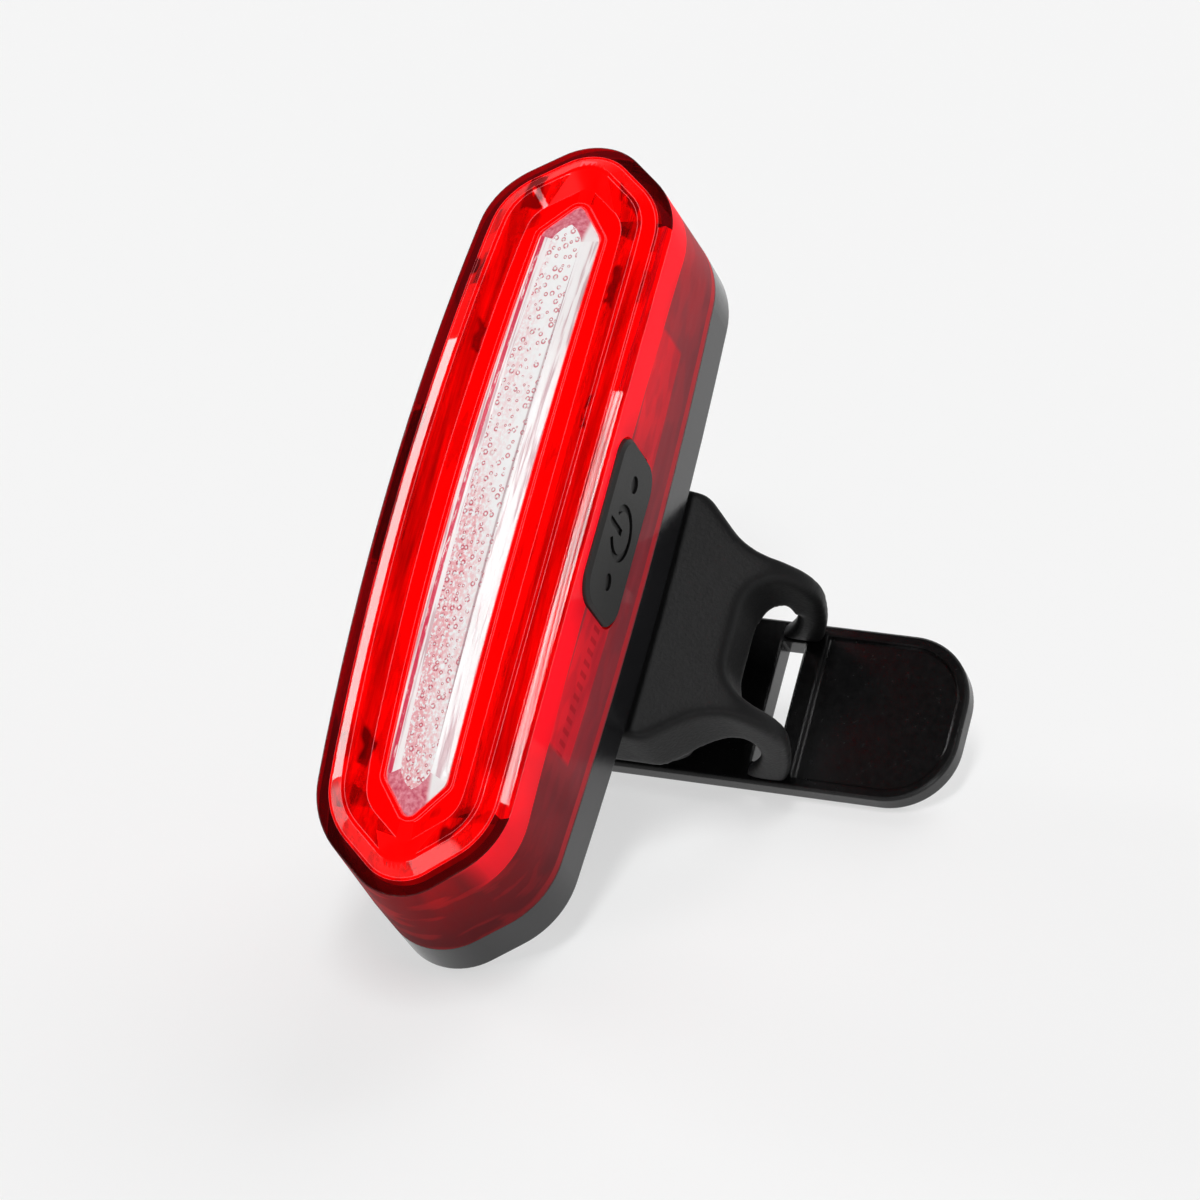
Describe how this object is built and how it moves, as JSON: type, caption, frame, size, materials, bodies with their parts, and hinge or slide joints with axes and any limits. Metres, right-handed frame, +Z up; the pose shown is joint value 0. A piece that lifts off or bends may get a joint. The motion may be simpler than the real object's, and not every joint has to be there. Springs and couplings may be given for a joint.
{
  "type": "rechargeable bicycle tail light",
  "caption": "Tall bicycle tail light: a red lens with a clear light window and side button on a black housing, with a slide-on spring clip.",
  "frame": {"origin": "centre of the housing's flat back face, at the foot of the clip's rail", "axes": "+X to the button side, +Y to the back (the clip), +Z up along the housing"},
  "size_m": [0.0448, 0.044, 0.075],
  "materials": {
    "red_lens": "polished translucent red",
    "clear_lens": "clear, polished",
    "white_diffuser": "pebbled, slightly pink",
    "black_body": "satin black",
    "black_clip": "fine textured black",
    "black_button": "matte black rubber",
    "carrier_white": "matt white",
    "phosphor": "cast phosphor",
    "board_white": "white solder mask",
    "board_green": "green solder mask",
    "chip_black": "moulded black",
    "part_grey": "fired ceramic and ferrite",
    "gold_pin": "gold plated",
    "steel": "plated steel",
    "foil": "pouch foil",
    "foam": "foam",
    "lead_red": "wire insulation",
    "indicator": "clear indicator",
    "seal_rubber": "silicone"
  },
  "bodies": {
    "housing": {"rear_housing": "black_body", "housing_seal": "seal_rubber", "lens_cover": "red_lens", "lens_window": "clear_lens", "led_carrier": "carrier_white", "diffuser": "white_diffuser", "led_board": "board_white", "cob_strip": "phosphor", "link_pins": "gold_pin", "main_board": "board_green", "board_screws": "steel", "controller_chip": "chip_black", "power_parts": "part_grey", "charge_led": "indicator", "battery_pad": "foam", "battery": "foil", "battery_leads": "lead_red", "tact_switch": "chip_black", "usb_shell": "steel", "usb_tongue": "chip_black", "cover_anchor": "black_button", "case_screws": "steel"},
    "button": {"button": "black_button", "switch_plunger": "chip_black"},
    "port_cover": {"port_cover": "black_button"},
    "clip": {"clip_bracket": "black_clip", "clip_spring_arms": "black_clip"},
    "lever": {"clip_lever": "black_clip"}
  },
  "joints": [
    {"name": "button_press", "type": "slide", "parent": "housing", "child": "button", "axis": [-1, 0, 0], "range_m": [0, 0.0005], "stiffness_N_per_m": 600, "springref_m": -0.002},
    {"name": "port_cover_hinge", "type": "hinge", "parent": "housing", "child": "port_cover", "pos_m": [-0.01043, -0.0133, 0.00658], "axis": [0, 1, 0], "range_deg": [0, 110], "stiffness_Nm_per_rad": 0.001, "springref_deg": -5.73},
    {"name": "clip_slide", "type": "slide", "parent": "housing", "child": "clip", "axis": [0, 0, -1], "range_m": [0, 0.026]},
    {"name": "clip_lever_hinge", "type": "hinge", "parent": "clip", "child": "lever", "pos_m": [0.02, 0.012, 0], "axis": [0, 0, -1], "range_deg": [0, 12], "stiffness_Nm_per_rad": 0.5, "springref_deg": -5.73, "deforming": ["clip_spring_arms"]}
  ]
}
